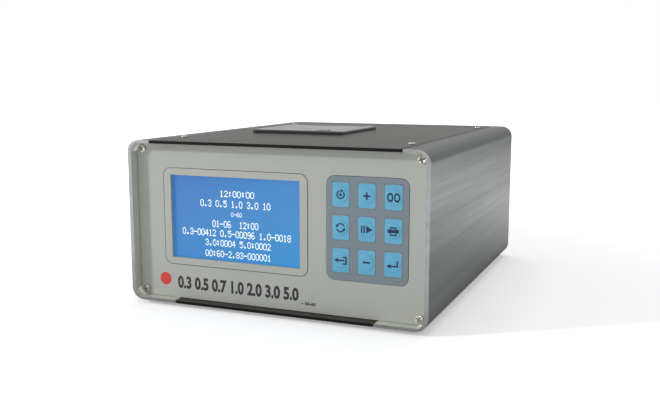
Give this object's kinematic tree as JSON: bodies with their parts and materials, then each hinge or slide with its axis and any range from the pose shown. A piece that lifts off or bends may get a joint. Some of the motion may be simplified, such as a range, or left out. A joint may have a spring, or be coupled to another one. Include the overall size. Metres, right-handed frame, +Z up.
{
  "type": "airborne particle counter",
  "caption": "Benchtop airborne particle counter in an aluminium case with a wide display, membrane keys, a strip printer under a hinged lid and a rear sample inlet.",
  "frame": {"origin": "middle of the footprint, on the surface under the rubber feet", "axes": "+Z up, the front panel faces -Y, +X to the right as seen from the front"},
  "size_m": [0.25, 0.3058, 0.1364],
  "materials": {
    "bare_aluminium": "brushed",
    "black_anodised": "black anodised",
    "black_plastic": "fine textured",
    "black_rubber": "matt",
    "black_steel": "matt black",
    "brass": "machined",
    "bright_steel": "nickel plated",
    "button_grey": "satin",
    "ceramic": "glazed",
    "circuit_board": "solder mask",
    "circuit_film": "film",
    "clear_tube": "silicone",
    "dark_anodised": "brushed, dark anodised",
    "dark_tube": "conductive tube",
    "display_glass": "flat glass, blue backlight",
    "key_blue": "satin",
    "keypad_grey": "fine grained film",
    "panel_grey": "fine matt lacquer, grey with a touch of green",
    "paper": "smooth paper",
    "shrink_wrap": "shrink sleeve",
    "surround_film": "matt printed film",
    "white_plastic": "natural",
    "zinc_steel": "zinc plated"
  },
  "bodies": {
    "case": {"air_pump": "zinc_steel", "battery_pack": "shrink_wrap", "board_spacers": "brass", "bottom_cover": "dark_anodised", "cover_screws": "bright_steel", "detector_module": "zinc_steel", "door_hinge_pin": "bright_steel", "exhaust_filter": "white_plastic", "exhaust_hose": "clear_tube", "feed_switch": "black_plastic", "front_panel": "panel_grey", "head_bracket": "zinc_steel", "inlet_nozzle": "bright_steel", "keypad_circuit": "circuit_film", "keypad_overlay": "keypad_grey", "laser_module": "brass", "lcd_backlight": "white_plastic", "lcd_board": "circuit_board", "lcd_frame": "black_steel", "lcd_glass": "display_glass", "left_side_profile": "bare_aluminium", "main_board": "circuit_board", "mains_inlet": "black_plastic", "optical_block": "black_anodised", "panel_screws": "bright_steel", "paper_roll": "paper", "power_supply": "circuit_board", "print_head": "ceramic", "printer_bezel": "black_plastic", "printer_bucket": "black_plastic", "printer_motor": "bright_steel", "pump_hose": "clear_tube", "rear_panel": "panel_grey", "right_side_profile": "bare_aluminium", "rubber_feet": "black_rubber", "sample_tube": "dark_tube", "serial_port": "zinc_steel", "snap_domes": "bright_steel", "switch_housing": "black_plastic", "tear_bar": "bright_steel", "top_cover": "dark_anodised", "window_surround": "surround_film"},
    "printer_lid": {"printer_door": "black_plastic"},
    "platen": {"platen_gear": "white_plastic", "platen_roller": "black_rubber", "platen_shaft": "bright_steel"},
    "idler": {"idler_gear": "white_plastic"},
    "pinion": {"motor_pinion": "brass"},
    "paper_feed_button": {"feed_button": "button_grey"},
    "rocker": {"power_rocker": "black_plastic"},
    "reset_key": {"key_reset": "key_blue"},
    "plus_key": {"key_plus": "key_blue"},
    "clear_key": {"key_clear": "key_blue"},
    "cycle_key": {"key_cycle": "key_blue"},
    "sample_key": {"key_sample": "key_blue"},
    "print_key": {"key_print": "key_blue"},
    "exit_key": {"key_exit": "key_blue"},
    "minus_key": {"key_minus": "key_blue"},
    "enter_key": {"key_enter": "key_blue"}
  },
  "joints": [
    {"name": "reset_key_press", "type": "slide", "parent": "case", "child": "reset_key", "axis": [0, 1, 0], "range_m": [0, 0.0004], "stiffness_N_per_m": 500},
    {"name": "plus_key_press", "type": "slide", "parent": "case", "child": "plus_key", "axis": [0, 1, 0], "range_m": [0, 0.0004], "stiffness_N_per_m": 500},
    {"name": "clear_key_press", "type": "slide", "parent": "case", "child": "clear_key", "axis": [0, 1, 0], "range_m": [0, 0.0004], "stiffness_N_per_m": 500},
    {"name": "cycle_key_press", "type": "slide", "parent": "case", "child": "cycle_key", "axis": [0, 1, 0], "range_m": [0, 0.0004], "stiffness_N_per_m": 500},
    {"name": "sample_key_press", "type": "slide", "parent": "case", "child": "sample_key", "axis": [0, 1, 0], "range_m": [0, 0.0004], "stiffness_N_per_m": 500},
    {"name": "print_key_press", "type": "slide", "parent": "case", "child": "print_key", "axis": [0, 1, 0], "range_m": [0, 0.0004], "stiffness_N_per_m": 500},
    {"name": "exit_key_press", "type": "slide", "parent": "case", "child": "exit_key", "axis": [0, 1, 0], "range_m": [0, 0.0004], "stiffness_N_per_m": 500},
    {"name": "minus_key_press", "type": "slide", "parent": "case", "child": "minus_key", "axis": [0, 1, 0], "range_m": [0, 0.0004], "stiffness_N_per_m": 500},
    {"name": "enter_key_press", "type": "slide", "parent": "case", "child": "enter_key", "axis": [0, 1, 0], "range_m": [0, 0.0004], "stiffness_N_per_m": 500},
    {"name": "printer_door_hinge", "type": "hinge", "parent": "case", "child": "printer_lid", "pos_m": [-0.0297, 0.03915, 0.1305], "axis": [-1, 0, 0], "range_deg": [0, 95]},
    {"name": "platen_spin", "type": "hinge", "parent": "printer_lid", "child": "platen", "pos_m": [-0.0297, -0.00885, 0.1255], "axis": [1, 0, 0], "continuous": true},
    {"name": "idler_spin", "type": "hinge", "parent": "case", "child": "idler", "pos_m": [-0.0297, -0.00756, 0.11307], "axis": [1, 0, 0], "continuous": true},
    {"name": "pinion_spin", "type": "hinge", "parent": "case", "child": "pinion", "pos_m": [-0.0297, -0.01806, 0.11307], "axis": [1, 0, 0], "continuous": true},
    {"name": "feed_button_press", "type": "slide", "parent": "case", "child": "paper_feed_button", "axis": [0, 0, -1], "range_m": [0, 0.0005], "stiffness_N_per_m": 500},
    {"name": "power_rocker_tilt", "type": "hinge", "parent": "case", "child": "rocker", "pos_m": [-0.017, 0.13785, 0.037], "axis": [-1, 0, 0], "range_deg": [0, 18]}
  ],
  "couplings": [
    {"joint": "idler_spin", "follows": "platen_spin", "ratio": -0.66667},
    {"joint": "pinion_spin", "follows": "platen_spin", "ratio": 1.6667}
  ]
}
